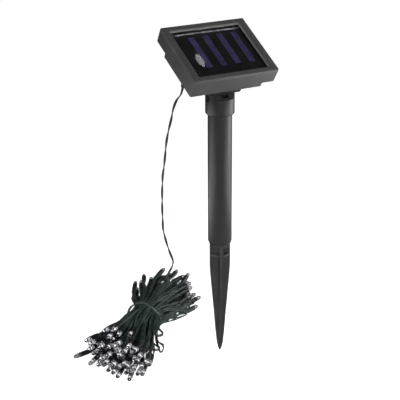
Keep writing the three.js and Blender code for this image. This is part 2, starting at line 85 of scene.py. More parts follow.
class Surface:
    """A procedural material on one Principled shader."""

    def __init__(self, name, roughness=0.5, **values):
        self.material = bpy.data.materials.new(name)
        self.material.use_nodes = True
        self.nodes = self.material.node_tree.nodes
        self.links = self.material.node_tree.links
        self.shader = self.nodes["Principled BSDF"]
        self.set("Roughness", roughness)
        for key, value in values.items():
            self.set(key.replace("_", " "), value)
        self.place = self.nodes.new("ShaderNodeTexCoord").outputs["Object"]

    def set(self, socket, value):
        self.shader.inputs[socket].default_value = value

    def math(self, operation, first, second=0.5):
        node = self.nodes.new("ShaderNodeMath")
        node.operation = operation
        for socket, value in zip(node.inputs, (first, second)):
            if isinstance(value, (int, float)):
                socket.default_value = value
            else:
                self.links.new(value, socket)
        return node.outputs[0]

    def noise(self, per_metre, detail=3.0, stretch=(1, 1, 1)):
        mapping = self.nodes.new("ShaderNodeMapping")
        mapping.inputs["Scale"].default_value = stretch
        self.links.new(self.place, mapping.inputs["Vector"])
        node = self.nodes.new("ShaderNodeTexNoise")
        node.inputs["Scale"].default_value = per_metre
        node.inputs["Detail"].default_value = detail
        self.links.new(mapping.outputs[0], node.inputs["Vector"])
        return node.outputs["Fac"]

    def along(self, direction):
        """How far a point lies along a direction from the origin, in metres."""
        node = self.nodes.new("ShaderNodeVectorMath")
        node.operation = "DOT_PRODUCT"
        self.links.new(self.place, node.inputs[0])
        node.inputs[1].default_value = direction
        return node.outputs["Value"]

    def ramp(self, factor, *stops):
        """Colours or greys at places from 0 to 1."""
        node = self.nodes.new("ShaderNodeValToRGB")
        elements = node.color_ramp.elements
        while len(elements) < len(stops):
            elements.new(0.5)
        for element, (place, color) in zip(elements, stops):
            element.position = place
            element.color = (*color, 1) if isinstance(color, tuple) else (color, color, color, 1)
        self.links.new(factor, node.inputs["Fac"])
        return node.outputs["Color"]

    def mix(self, factor, first, second):
        node = self.nodes.new("ShaderNodeMix")
        node.data_type = "RGBA"
        self.links.new(factor, node.inputs["Factor"])
        for socket, value in ((node.inputs["A"], first), (node.inputs["B"], second)):
            if isinstance(value, tuple):
                socket.default_value = (*value, 1)
            else:
                self.links.new(value, socket)
        return node.outputs["Result"]

    def use(self, socket, value):
        self.links.new(value, self.shader.inputs[socket])
        return self

    def bump(self, height, depth, strength=1.0):
        """Relief of `depth` metres."""
        node = self.nodes.new("ShaderNodeBump")
        node.inputs["Distance"].default_value = depth
        node.inputs["Strength"].default_value = strength
        self.links.new(height, node.inputs["Height"])
        self.links.new(node.outputs["Normal"], self.shader.inputs["Normal"])
        return self


def moulded(name, dark, light, roughness, grain=2200, depth=0.00003):
    """Moulded plastic: fine grain, and a little change of shade and gloss over the part."""
    s = Surface(name)
    cloud = s.noise(45, 4)
    s.use("Base Color", s.ramp(cloud, (0.3, dark), (0.7, light)))
    low, high = roughness
    s.use("Roughness", s.ramp(s.noise(260, 5), (0.3, low), (0.7, high)))
    return s.bump(s.noise(grain, 3), depth).material


def grey(value, blue=1.02):
    return (value, value, value * blue)


def pcb_green():
    s = Surface("pcb_green", 0.35)
    tracks = s.ramp(s.noise(420, 0), (0.5, 0.0), (0.52, 1.0))
    s.use("Base Color", s.mix(tracks, (0.006, 0.05, 0.02), (0.015, 0.09, 0.04)))
    return s.bump(tracks, 0.00003).material


def brushed_metal(name, dark, light, roughness):
    s = Surface(name, roughness, Metallic=1.0)
    streaks = s.noise(900, 4, (1, 1, 0.08))
    s.use("Base Color", s.ramp(streaks, (0.3, dark), (0.7, light)))
    return s.bump(streaks, 0.00001).material


def tinned_ribbon():
    """Solder-coated ribbon with painted highlights: its colour turns bright and dull in broken lengths along it.
    """
    s = Surface("tinned_ribbon", 0.4, Metallic=0.45)
    # painted highlight: this noise lays bright and dull lengths into the ribbon's colour, and the same noise gives
    # it a slight relief
    spots = s.noise(160, 2)
    s.use("Base Color", s.ramp(spots, (0.4, (0.42, 0.42, 0.45)), (0.55, (0.86, 0.86, 0.88))))
    return s.bump(spots, 0.0001).material


def wire_coat():
    """Dark green cable coat with a soft gloss and slight scuffing."""
    s = Surface("wire_coat", 0.42)
    shade = s.noise(85, 4)
    s.use("Base Color", s.ramp(shade, (0.3, (0.012, 0.023, 0.019)), (0.7, (0.034, 0.052, 0.045))))
    s.use("Roughness", s.ramp(s.noise(700, 3), (0.3, 0.28), (0.7, 0.42)))
    return s.bump(s.noise(1500, 2), 0.00003).material


def clear_plastic(name, roughness, tint):
    s = Surface(name, roughness, Transmission_Weight=1.0, IOR=1.49)
    s.use("Base Color", s.ramp(s.noise(300, 2), (0.3, tint), (0.7, tuple(1.12 * c for c in tint))))
    return s.bump(s.noise(900, 2), 0.000008).material


def panel_glass():
    """Flat clear cover with a trace of dust."""
    s = Surface("panel_glass", 0.04, Transmission_Weight=1.0, IOR=1.35)
    s.use("Roughness", s.ramp(s.noise(120, 5), (0.45, 0.005), (0.8, 0.03)))
    s.use("Base Color", s.ramp(s.noise(60, 3), (0.3, (0.96, 0.96, 0.98)), (0.7, (1.0, 1.0, 1.0))))
    return s.bump(s.noise(150, 2), 0.000004).material


def lamp_cup():
    s = Surface("lamp_cup", 0.25, Metallic=0.6)
    s.use("Base Color", s.ramp(s.noise(500, 2), (0.3, (0.72, 0.72, 0.7)), (0.7, (0.9, 0.89, 0.84))))
    return s.bump(s.noise(800, 2), 0.00002).material


# ---------------------------------------------------------------- mesh helpers


def new_object(name, part, material, sharp=None):
    """A smooth-shaded mesh object from a part in millimetres.

    Edges sharper than `sharp` degrees stay crisp.
    """
    points, faces = part
    mesh = bpy.data.meshes.new(name)
    mesh.from_pydata((np.asarray(points, float) * MM).tolist(), [], faces)
    mesh.validate()
    outward = bmesh.new()
    outward.from_mesh(mesh)
    bmesh.ops.recalc_face_normals(outward, faces=outward.faces)
    outward.to_mesh(mesh)
    outward.free()
    mesh.shade_smooth()
    mesh.materials.append(material)
    piece = bpy.data.objects.new(name, mesh)
    bpy.context.scene.collection.objects.link(piece)
    if sharp:
        mesh.set_sharp_from_angle(angle=math.radians(sharp))
    return piece


def applied(piece, kind, sharp=None, **values):
    """Adds a modifier to a piece and applies it."""
    modifier = piece.modifiers.new(kind.lower(), kind)
    for key, value in values.items():
        setattr(modifier, key, value)
    graph = bpy.context.evaluated_depsgraph_get()
    mesh = bpy.data.meshes.new_from_object(piece.evaluated_get(graph))
    piece.modifiers.clear()
    piece.data = mesh
    mesh.shade_smooth()
    if sharp:
        mesh.set_sharp_from_angle(angle=math.radians(sharp))
    return piece


def combined(piece, other, operation, sharp=30):
    """A piece joined with or cut by another object, which is used up."""
    applied(piece, "BOOLEAN", sharp, object=other, operation=operation, solver="MANIFOLD")
    bpy.data.objects.remove(other)
    return piece


def rounded(piece, width, segments=3, sharp=30, limit=35):
    """A piece with its sharp edges rounded."""
    return applied(
        piece, "BEVEL", sharp, width=width * MM, segments=segments, limit_method="ANGLE",
        angle_limit=math.radians(limit), use_clamp_overlap=True,
    )


def loft(rings, closed=False, caps=True):
    """Points and faces of a skin through rings that all have the same number of points."""
    count = len(rings[0])
    verts = np.concatenate([np.asarray(ring, float) for ring in rings])
    faces = []
    last = len(rings) if closed else len(rings) - 1
    for i in range(last):
        a = i * count
        b = ((i + 1) % len(rings)) * count
        for j in range(count):
            k = (j + 1) % count
            faces.append((a + j, a + k, b + k, b + j))
    if caps and not closed:
        top = (len(rings) - 1) * count
        faces.append(tuple(range(count - 1, -1, -1)))
        faces.append(tuple(range(top, top + count)))
    return verts, faces


def turned(profile, sides):
    """Points and faces of a shape turned about Z from (radius, height) pairs."""
    angles = [TAU * k / sides for k in range(sides)]
    rings = [[(r * math.cos(t), r * math.sin(t), z) for t in angles] for r, z in profile]
    return loft(rings)


def joined(parts):
    """One (points, faces) pair from several."""
    verts, faces, base = [], [], 0
    for points, polygons in parts:
        verts.append(np.asarray(points, float))
        faces += [tuple(i + base for i in polygon) for polygon in polygons]
        base += len(points)
    return np.concatenate(verts), faces


def moved(part, matrix):
    """The same part after a 4 by 4 matrix."""
    points, faces = part
    m = np.array(matrix)
    return np.asarray(points, float) @ m[:3, :3].T + m[:3, 3], faces


# ---------------------------------------------------------------- lead and hank
LEAD_DIAMETER = 2.7
STRAND = LEAD_DIAMETER / 4
LAY = 46

GLAND_END = (-36.9, -22.2, 299.1)
LEAD_ROUTE = [
    (-39, -19, 291), (-43.5, -16, 284), (-47, -13, 274), (-49.5, -8.5, 261),
    (-52.5, -4, 248), (-55, 1.5, 233), (-56.5, 7, 218), (-58, 11.5, 205),
    (-59.5, 15.5, 194), (-60.5, 21.5, 176), (-61, 28.5, 156), (-61, 34.5, 139),
    (-60.5, 40, 123), (-57.5, 46, 107), (-55, 50, 96), (-51, 54.5, 82),
    (-52, 57.5, 74), (-56, 61, 64.5), (-59.5, 64.5, 55), (-60.5, 65.5, 52),
]


def through(points, step):
    """Points about `step` apart on a smooth curve through the given ones."""
    p = np.asarray(points, float)
    p = np.vstack([2 * p[0] - p[1], p, 2 * p[-1] - p[-2]])
    out = []
    for a, b, c, d in zip(p, p[1:], p[2:], p[3:]):
        count = max(1, round(np.linalg.norm(c - b) / step))
        for k in range(count):
            t = k / count
            cubic = 2 * b + (c - a) * t + (2 * a - 5 * b + 4 * c - d) * t * t
            out.append(0.5 * (cubic + (3 * b - 3 * c + d - a) * t**3))
    out.append(p[-2])
    return np.array(out)


def carried_frames(path):
    """The tangents of a path and two normals carried along it without twist."""
    tangents = np.gradient(path, axis=0)
    tangents /= np.linalg.norm(tangents, axis=1)[:, None]
    normal = np.cross(tangents[0], (0.3, 0.2, 0.9))
    normals = []
    for tangent in tangents:
        normal = normal - tangent * (normal @ tangent)
        normal /= np.linalg.norm(normal)
        normals.append(normal)
    normals = np.array(normals)
    return tangents, normals, np.cross(tangents, normals)


def arc_length(path):
    steps = np.linalg.norm(np.diff(path, axis=0), axis=1)
    return np.concatenate([[0], np.cumsum(steps)])


def twisted_pair(path, sides=6):
    """Two strands wound round each other along a path."""
    _, normal, side = carried_frames(path)
    along = arc_length(path)
    parts = []
    for strand in (0, 1):
        turn = TAU * along / LAY + strand * math.pi
        centre = path + STRAND * (np.cos(turn)[:, None] * normal + np.sin(turn)[:, None] * side)
        rings = []
        for k in range(sides):
            t = TAU * k / sides
            rings.append(centre + STRAND * (math.cos(t) * normal + math.sin(t) * side))
        rings = np.stack(rings, axis=1)
        parts.append(loft(list(rings)))
    return joined(parts)


HANK_WAIST = np.array((-80, 20, 0))
HEADING = math.radians(65.8)
ALONG = np.array((math.cos(HEADING), math.sin(HEADING), 0))
ACROSS = np.array((-math.sin(HEADING), math.cos(HEADING), 0))
UP = np.array((0, 0, 1))
WAIST_RADIUS = 16.4
WAIST_HEIGHT = 30
RUN_SPACING = 2.72
LIGHT_LENGTH = 22.3
WIRE_IN_HOLDER = 5
BARE_FOLDS = {26, 47, 71, 92, 93, 94}

rng = np.random.default_rng(7)


def in_hank(s, t, z):
    """Row-frame point for a distance along, across and above the hank."""
    return HANK_WAIST + s * ALONG + t * ACROSS + z * UP


def waist_slots():
    """Where the runs pass through the waist, in unit coordinates, row by row from the top, each
    row the other way, so that a run lies beside the one before it."""
    rows = int(2 * WAIST_RADIUS / (RUN_SPACING * math.sqrt(0.75)))
    slots = []
    for row in range(rows + 1):
        z = WAIST_RADIUS - row * RUN_SPACING * math.sqrt(0.75)
        half = math.sqrt(max(0, WAIST_RADIUS**2 - z**2))
        shift = RUN_SPACING / 2 * (row % 2)
        columns = [c * RUN_SPACING + shift for c in range(-8, 9)]
        line = [(t / WAIST_RADIUS, z / WAIST_RADIUS) for t in columns if abs(t) <= half]
        slots += line if row % 2 == 0 else line[::-1]
    return np.array(slots)


slots = waist_slots()
fold_count = len(slots)


def unit(v):
    return v / np.linalg.norm(v)


def first_lights():
    """The eight lights that the CAD model holds: fold end (-1 near, 1 far), base and direction."""
    fan = math.radians(0.8)
    near, far = -70, 62
    places = [
        (near, 31, 15), (near, 16, 34), (near, 0, 8), (near, -15, 32), (near, -30, 18),
        (far, 22, 30), (far, 1, 40), (far, -21, 24),
    ]
    lights = []
    for s, t, z in places:
        out = math.copysign(1, s)
        lights.append((out, np.array((s, t, z)), np.array((out * math.cos(t * fan), math.sin(t * fan), 0))))
    return lights


def spread_folds():
    """Where each fold's light stands in the hank: its base and direction as (along, across, up)."""
    following = np.vstack([slots[1:], slots[-1:]])
    middle = (slots + following) / 2
    a, b = middle[:, 0], middle[:, 1]
    ends = np.where(np.arange(fold_count) % 2 == 0, -1.0, 1.0)
    near = ends < 0
    loose = rng.random((fold_count, 4))
    high = (b + 1) / 2
    s_near = -96 + 6 * a + 4 * a**2 + (5 + 24 * high) * loose[:, 0]
    t_far = 46 * a + 8
    s_far = 99 - 0.0175 * (t_far - 12) ** 2 - 14 * loose[:, 0]
    tip = np.stack([
        np.where(near, s_near, s_far),
        np.where(near, 44 * a - 9, t_far) + 5 * (loose[:, 1] - 0.5),
        np.where(near, 24 + 20 * b, 28 + 21 * b) + 4 * (loose[:, 2] - 0.5),
    ], axis=1)
    tip[[k for k in BARE_FOLDS if near[k]], 0] = -50
    fixed = np.zeros(fold_count, bool)
    spots = []
    for out, base, way in first_lights():
        want = base + way * LIGHT_LENGTH
        gap = np.linalg.norm(tip - want, axis=1) + 1e3 * ((ends != out) | fixed)
        k = int(np.argmin(gap))
        fixed[k] = True
        tip[k] = want
        spots.append((k, base, way))
    for _ in range(60):
        push_apart(tip, fixed, ends)
    root = np.stack([ends * 12, 0.42 * tip[:, 1], WAIST_HEIGHT + 0.7 * (tip[:, 2] - WAIST_HEIGHT)], axis=1)
    way = tip - root
    way /= np.linalg.norm(way, axis=1)[:, None]
    way += 0.34 * (rng.random((fold_count, 3)) - 0.5)
    way[:, 2] = np.maximum(way[:, 2], -(tip[:, 2] - 4) / 40)
    way /= np.linalg.norm(way, axis=1)[:, None]
    base = tip - way * LIGHT_LENGTH
    base[:, 2] = np.maximum(base[:, 2], 4)
    for k, exact, direction in spots:
        base[k] = exact
        way[k] = direction
    return ends, base, way, [k for k, _, _ in spots]


def push_apart(tip, fixed, ends):
    """Moves lights that are too close apart, across and up only."""
    room = 6.6
    near_each = np.abs(tip[:, None, 0] - tip[None, :, 0]) < 17
    same_end = ends[:, None] == ends[None, :]
    gap = tip[:, None, 1:] - tip[None, :, 1:]
    far = np.hypot(gap[..., 0], gap[..., 1])
    np.fill_diagonal(far, 99)
    tight = near_each & same_end & (far < room)
    push = np.where(tight, (room - far) / 2, 0)[..., None] * gap / np.maximum(far, 0.3)[..., None]
    step = 0.5 * push.sum(axis=1)
    step[fixed] = 0
    tip[:, 1:] += np.clip(step, -2, 2)
    tip[:, 2] = np.clip(tip[:, 2], 4.2, 49)
    tip[:, 1] = np.clip(tip[:, 1], np.where(ends < 0, -54, -39), np.where(ends < 0, 36, 56))


fold_ends, light_bases, light_ways, first_folds = spread_folds()


def across_fold(k):
    """The direction from one leg of fold k to the other."""
    following = slots[min(k + 1, fold_count - 1)]
    leg = following - slots[k]
    flat = np.array((0, leg[0], leg[1])) if np.any(leg) else np.array((0, 1, 0))
    flat = flat - light_ways[k] * (flat @ light_ways[k])
    return unit(flat)


def hermite(p0, m0, p1, m1, count):
    t = np.linspace(0, 1, count, endpoint=False)[:, None]
    return (
        (2 * t**3 - 3 * t**2 + 1) * p0 + (t**3 - 2 * t**2 + t) * m0
        + (3 * t**2 - 2 * t**3) * p1 + (t**3 - t**2) * m1
    )


def half_run(k, slot, from_fold, leg):
    """Points from the waist to fold k's light, or back from it, in hank coordinates."""
    end = fold_ends[k]
    waist = np.array((0, slot[0] * WAIST_RADIUS, WAIST_HEIGHT + slot[1] * WAIST_RADIUS))
    foot = light_bases[k] + leg * LEAD_DIAMETER / 2 * across_fold(k)
    length = np.linalg.norm(foot - waist)
    points = hermite(waist, end * length * np.array((1.0, 0, 0)), foot, 0.8 * length * light_ways[k], 15)
    wave = np.sin(np.linspace(0, math.pi, 15, endpoint=False))[:, None] ** 2
    points = points + wave * 5 * (rng.random(3) - 0.5) * (0, 1, 1)
    points[:, 2] = np.maximum(points[:, 2], 1.5)
    return points[::-1] if from_fold else points


def fold_turn(k):
    """The turn at fold k: inside the light's holder, or a bare loop."""
    base, way, side = light_bases[k], light_ways[k], across_fold(k)
    half = LEAD_DIAMETER / 2
    depth = WIRE_IN_HOLDER
    if k in BARE_FOLDS:
        half, depth = 4.2, 9
    legs = []
    for t in np.linspace(-math.pi / 2, math.pi / 2, 5 if k not in BARE_FOLDS else 9):
        legs.append(base + way * (depth + half * math.cos(t)) + side * half * math.sin(t))
    return np.array(legs)


def hank_path():
    """The whole string from the lead's end, as row-frame points."""
    entry = np.array([(50.5, 1.2, 51.5), (47, 1.5, 48.5), (40, 2, 47)])
    legs = [entry]
    for k in range(fold_count):
        if k > 0:
            legs.append(half_run(k - 1, slots[k], True, 1))
        legs.append(half_run(k, slots[k], False, -1))
        if k < fold_count - 1:
            legs.append(fold_turn(k))
    last = light_bases[-1] + light_ways[-1] * WIRE_IN_HOLDER
    legs.append(np.array([light_bases[-1], last]))
    path = np.vstack(legs)
    keep = np.concatenate([[True], np.linalg.norm(np.diff(path, axis=0), axis=1) > 0.3])
    path = path[keep]
    return HANK_WAIST + path[:, :1] * ALONG + path[:, 1:2] * ACROSS + path[:, 2:] * UP


wire_green = wire_coat()
lead_path = through([GLAND_END, *LEAD_ROUTE], 3)
lead = new_object("lead", twisted_pair(lead_path, 10), wire_green)
string_path = hank_path()
string = new_object("string", twisted_pair(string_path), wire_green)

# ---------------------------------------------------------------- lights on the string
HOLDER_PROFILE = [
    (1.9, 0), (2.15, 0.25), (2.35, 1.2), (2.45, 3.6), (2.6, 4.1), (2.65, 4.5), (2.65, 12.6), (2.8, 12.9),
    (2.8, 13.8), (2.65, 14), (2.45, 14), (2.45, 13.2),
]
LENS_PROFILE = [(2.4, 13.3), (2.45, 17.6), (2.4, 18.9), (2.2, 20.1), (1.8, 21.2), (1.2, 21.9), (0.4, 22.25)]
CUP_PROFILE = [(0.35, 13.4), (0.4, 15.2), (1.35, 15.7), (1.5, 16.6), (1.25, 16.6), (0.7, 15.95), (0.3, 15.9)]


def standing(base, way):
    """The matrix that stands a part made along +Z on `base`, pointing along `way`."""
    turn = Vector(way).to_track_quat("Z", "Y").to_matrix().to_4x4()
    return Matrix.Translation(Vector(base)) @ turn


def light_matrix(k):
    base = in_hank(*light_bases[k])
    way = light_ways[k] @ np.array((ALONG, ACROSS, UP))
    return standing(base, way)


def light_pieces(name, folds):
    """The holders with their lamp cups, and the lenses, of the lights at these folds."""
    spots = [light_matrix(k) for k in folds]
    holders = joined([moved(turned(HOLDER_PROFILE, 12), spot) for spot in spots])
    cups = joined([moved(turned(CUP_PROFILE, 8), spot) for spot in spots])
    holder = new_object(f"{name}_holder", joined([holders, cups]), holder_plastic, 40)
    holder.data.materials.append(cup_metal)
    for polygon in holder.data.polygons[len(holders[1]):]:
        polygon.material_index = 1
    lenses = joined([moved(turned(LENS_PROFILE, 12), spot) for spot in spots])
    lens = new_object(f"{name}_lens", lenses, lens_clear, 50)
    for piece in (holder, lens):
        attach(piece, "swivel")
    return holder, lens


def tie_path():
    """Once round the waist, with both ends crossed at the low right side."""
    start, turn = math.radians(-75), math.radians(380)
    points = []
    for k in range(49):
        share = k / 48
        angle = start + turn * share
        radius = WAIST_RADIUS + 2.8
        points.append((-8 + 3.4 * share, radius * math.cos(angle), WAIST_HEIGHT + radius * math.sin(angle)))
    return np.array([in_hank(*point) for point in points])


holder_plastic = moulded("holder_plastic", (0.004, 0.006, 0.005), (0.01, 0.013, 0.011), (0.3, 0.45))
cup_metal = lamp_cup()
lens_clear = clear_plastic("lens_clear", 0.16, (0.74, 0.73, 0.8))

on_string = []
for number, fold in enumerate(first_folds, start=1):
    holder, lens = light_pieces(f"light_{number}", [fold])
    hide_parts(f"led_holder_{number}")
    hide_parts(f"led_lens_{number}")
    on_string += [holder, lens]
others = [k for k in range(fold_count) if k not in BARE_FOLDS and k not in first_folds]
for name, out in (("near_lights", -1), ("far_lights", 1)):
    on_string += light_pieces(name, [k for k in others if fold_ends[k] == out])

tie = new_object("tie", twisted_pair(tie_path(), 8), wire_green)
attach(tie, "swivel")
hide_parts("hank_tie")
on_string.append(tie)

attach(string, "swivel")
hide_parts("hank_wire")

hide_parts("lead_wire")
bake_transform(lead)

# ---------------------------------------------------------------- head
record = frame["record"]
tilt = next(joint for joint in frame["joints"] if joint["name"] == "head_tilt")
face = next(mount for mount in record["mounts"] if mount["name"] == "panel_face")
FACE_SETBACK = 36.35
head_x = Vector(tilt["axis"]).normalized()
head_z = Vector(face["axis"]).normalized()
head_y = head_z.cross(head_x)
head_origin = Vector(face["pos_m"]) / MM + head_y * FACE_SETBACK
HEAD = Matrix.Translation(head_origin) @ Matrix((head_x, head_y, head_z)).transposed().to_4x4()

HALF_WIDTH, HALF_DEPTH = 48.9, 39.6
CORNER = 1.4
BEZEL_THICK = 1.8
SEAM = 0.3
WALL = 1.8
DRAFT = 1.0
SKIRT_BOTTOM = -16.5
BELLY_RIGHT, BELLY_BACK, BELLY_BOTTOM = 35, 21, -22
EDGE = 0.6
BELLY_EDGE = 1.1
PIVOT_Y, PIVOT_Z = -24.98, -41.57
SLAB_FRONT, SLAB_BOTTOM = -32, -32.5


def ring(left, right, front, back, corner, z, steps=5):
    """A rounded rectangle at height z, counted from the front left corner."""
    corners = (
        (right - corner, front + corner, -90), (right - corner, back - corner, 0),
        (left + corner, back - corner, 90), (left + corner, front + corner, 180),
    )
    points = []
    for x, y, start in corners:
        for k in range(steps + 1):
            angle = math.radians(start + 90 * k / steps)
            points.append((x + corner * math.cos(angle), y + corner * math.sin(angle), z))
    return points


def even_ring(half_x, half_y, corner, z):
    return ring(-half_x, half_x, -half_y, half_y, max(corner, 0.1), z)


def quarter(steps=3):
    """(across, down) pairs from 0, 0 to 1, 1 round a quarter circle that starts flat."""
    angles = [math.pi / 2 * k / steps for k in range(steps + 1)]
    return [(math.sin(a), 1 - math.cos(a)) for a in angles]


def box_part(x0, x1, y0, y1, z0, z1):
    return loft([[(x0, y0, z), (x1, y0, z), (x1, y1, z), (x0, y1, z)] for z in (z0, z1)])


def rod_part(radius, z0, z1, x=0.0, y=0.0, sides=32):
    return moved(turned([(radius, z0), (radius, z1)], sides), Matrix.Translation((x, y, 0)))


def head_piece(name, part, material, slot, *nodes, sharp=30):
    piece = new_object(name, moved(part, HEAD), material, sharp)
    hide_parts(*nodes)
    return piece


def bezel_part():
    """The frame round the panel: rounded outer edge, and an opening whose walls slope in."""
    rings = [even_ring(HALF_WIDTH, HALF_DEPTH, CORNER, -BEZEL_THICK)]
    for across, down in reversed(quarter()):
        inset = EDGE * (1 - across)
        rings.append(even_ring(HALF_WIDTH - inset, HALF_DEPTH - inset, CORNER - inset, -EDGE * down))
    lip = 0.35
    for across, down in quarter(2):
        inset = lip * across
        rings.append(even_ring(41.2 + lip - inset, 33.7 + lip - inset, 1.2, -lip * down))
    rings.append(even_ring(40, 32.5, 1, -BEZEL_THICK))
    return loft(rings, closed=True)


def cover_part():
    """The rear cover's tray, with a deeper box flush with its left and front walls."""
    inner_x, inner_y = HALF_WIDTH - WALL, HALF_DEPTH - WALL
    top = -BEZEL_THICK - SEAM
    rings = [
        even_ring(inner_x, inner_y, 1, SKIRT_BOTTOM + WALL),
        even_ring(inner_x, inner_y, 1, top),
        even_ring(HALF_WIDTH - 0.2, HALF_DEPTH - 0.2, CORNER - 0.2, top),
        even_ring(HALF_WIDTH, HALF_DEPTH, CORNER, top - 0.2),
    ]

    def outline(z, right, back):
        """The outline at height z, with the left and front walls leaning in towards the bottom."""
        lean = DRAFT * (top - z) / (top - BELLY_BOTTOM)
        return ring(lean - HALF_WIDTH, right, lean - HALF_DEPTH, back, CORNER, z)

    for across, down in quarter():
        inset = EDGE * down
        rings.append(outline(SKIRT_BOTTOM + EDGE * (1 - across), HALF_WIDTH - inset, HALF_DEPTH - inset))
    fillet = 0.6
    for across, down in reversed(quarter()):
        grow = fillet * down
        rings.append(outline(SKIRT_BOTTOM - fillet * (1 - across), BELLY_RIGHT + grow, BELLY_BACK + grow))
    for across, down in quarter():
        inset = BELLY_EDGE * down
        left, front = DRAFT - HALF_WIDTH + inset, DRAFT - HALF_DEPTH + inset
        z = BELLY_BOTTOM + BELLY_EDGE * (1 - across)
        rings.append(ring(left, BELLY_RIGHT - inset, front, BELLY_BACK - inset, CORNER, z))
    points, faces = loft(rings)
    return points, [polygon[::-1] for polygon in faces]


def cover_cuts():
    """Everything that is open in the cover: the box inside, doorway, slots, holes and screw seats."""
    underside = {(-1, -1): BELLY_BOTTOM}
    cuts = [
        box_part(WALL - HALF_WIDTH, 33.2, WALL - HALF_DEPTH, 19.2, -20.2, SKIRT_BOTTOM + WALL + 1),
        box_part(-31.3, 32.3, -1.3, 18.3, -23, -19),
        box_part(-18, -12, 28.6, 31.4, -18, -13),
        rod_part(3.3, -18, -13, 12, 30),
        rod_part(2.7, -23, -19, -43, -17),
    ]
    for x, y in ((-1, -1), (1, -1), (1, 1), (-1, 1)):
        low = underside.get((x, y), SKIRT_BOTTOM)
        cuts.append(rod_part(2.4, low - 1, low + 2, x * 43.2, y * 34.2))
    return cuts


housing = moulded("housing_plastic", grey(0.05), grey(0.066), (0.36, 0.46), 1500, 0.00002)
stake_plastic = moulded("stake_plastic", grey(0.016), grey(0.021), (0.3, 0.36), 2600, 0.000003)
spike_plastic = moulded("spike_plastic", grey(0.02), grey(0.026), (0.32, 0.42), 2600, 0.000005)
bracket_plastic = moulded("bracket_plastic", grey(0.006), grey(0.009), (0.45, 0.6))
black_rubber = moulded("black_rubber", grey(0.006), grey(0.011), (0.6, 0.8), 900, 0.00005)
board_black = moulded(
    "board_black", (0.002, 0.002, 0.003), (0.004, 0.004, 0.005), (0.18, 0.25), 1500, 0.000005,
)
cell_wrap = moulded("cell_wrap", (0.1, 0.13, 0.18), (0.14, 0.18, 0.23), (0.25, 0.35))

bezel = head_piece("bezel", bezel_part(), housing, "housing", "bezel_frame")
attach(bezel, "head")

cover = head_piece("cover", cover_part(), housing, "housing", "rear_cover")
for cut in cover_cuts():
    combined(cover, new_object("cutter", moved(cut, HEAD), housing), "DIFFERENCE")
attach(cover, "head")


def bracket():
    """The slab under the head with a tongue and its eye."""
    rings = []
    for across, down in reversed(quarter()):
        inset = 0.9 * down
        z = SLAB_BOTTOM + 0.9 * (1 - across)
        rings.append(ring(inset - 19, 19 - inset, SLAB_FRONT + inset, -5 - inset, 3 - inset, z))
    rings.append(ring(-19, 19, SLAB_FRONT, -5, 3, BELLY_BOTTOM - SEAM))
    eye = []
    for k in range(25):
        angle = math.pi + math.pi * k / 24
        eye.append((PIVOT_Y + 6 * math.cos(angle), PIVOT_Z + 6 * math.sin(angle)))
    outline = [(PIVOT_Y + 6, SLAB_BOTTOM + 1), (PIVOT_Y - 6, SLAB_BOTTOM + 1), *eye]
    tongue = loft([[(x, y, z) for y, z in outline] for x in (-3.5, 3.5)])
    piece = head_piece("bracket", loft(rings), bracket_plastic, "bracket_plastic", "tilt_bracket")
    blade = rounded(new_object("blade", moved(tongue, HEAD), bracket_plastic), 0.4)
    combined(piece, blade, "UNION")
    across = HEAD @ Matrix.Translation((0, PIVOT_Y, PIVOT_Z)) @ Matrix.Rotation(math.pi / 2, 4, "Y")
    hole = new_object("hole", moved(rod_part(2.3, -9, 9), across), bracket_plastic)
    return combined(piece, hole, "DIFFERENCE")


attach(bracket(), "head")

GLAND_PROFILE = [
    (1.5, -28), (2.1, -28), (2.4, -27.7), (2.45, -26.6), (2.2, -26.4), (2.25, -25.9), (2.65, -25.7),
    (2.7, -24.9), (2.45, -24.7), (2.5, -24.2), (2.9, -24), (2.95, -23.2), (3.3, -22.9), (3.4, -22.3),
    (2.4, -22.3), (2.4, -19.9), (2.9, -19.9), (2.9, -18.9), (1.5, -18.9),
]
gland_part = moved(turned(GLAND_PROFILE, 32), Matrix.Translation((-43, -17, 0)))
gland = head_piece("gland", gland_part, black_rubber, "rubber", "cable_gland", sharp=40)
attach(gland, "head")

# ---------------------------------------------------------------- panel
def dress(material, *names):
    """Gives CAD nodes their finished material."""
    for name in names:
        mesh = frame["nodes"][name].data
        mesh.materials.clear()
        mesh.materials.append(material)


def solar_cell():
    """Blue-violet cell with fine collector lines across it."""
    s = Surface("solar_cell", 0.22)
    cloud = s.noise(140, 3)
    base = s.ramp(cloud, (0.3, (0.036, 0.028, 0.1)), (0.7, (0.055, 0.045, 0.15)))
    lines = s.math("FRACT", s.math("MULTIPLY", s.along(tuple(head_y)), 1 / 0.0016))
    line = s.ramp(lines, (0.0, 1.0), (0.08, 1.0), (0.12, 0.0))
    s.use("Base Color", s.mix(line, base, (0.12, 0.11, 0.2)))
    return s.bump(cloud, 0.00002).material


dress(panel_glass(), "solar_glass")
dress(solar_cell(), *[f"cell_strip_{i}" for i in range(1, 5)])
dress(tinned_ribbon(), "cell_ribbon", "contact_plate")
dress(board_black, "cell_board", "controller_chip", "tact_switch")
dress(black_rubber, "panel_gasket", "mode_button")
dress(housing, "battery_door")
dress(cell_wrap, "battery_cell")
dress(pcb_green(), "circuit_board")
dress(bracket_plastic, "power_slider", "boost_inductor")
steel = brushed_metal("steel", grey(0.3, 1), grey(0.5, 1), 0.35)
black_steel = brushed_metal("black_steel", grey(0.02, 1), grey(0.035, 1), 0.45)
dress(black_steel, "pivot_screw", "pivot_nut")
dress(
    steel, "door_screw", "contact_spring", "switch_body",
    *[f"cover_screw_{i}" for i in range(1, 5)], *[f"board_screw_{i}" for i in (1, 2)],
    *[f"bracket_screw_{i}" for i in (1, 2)],
)

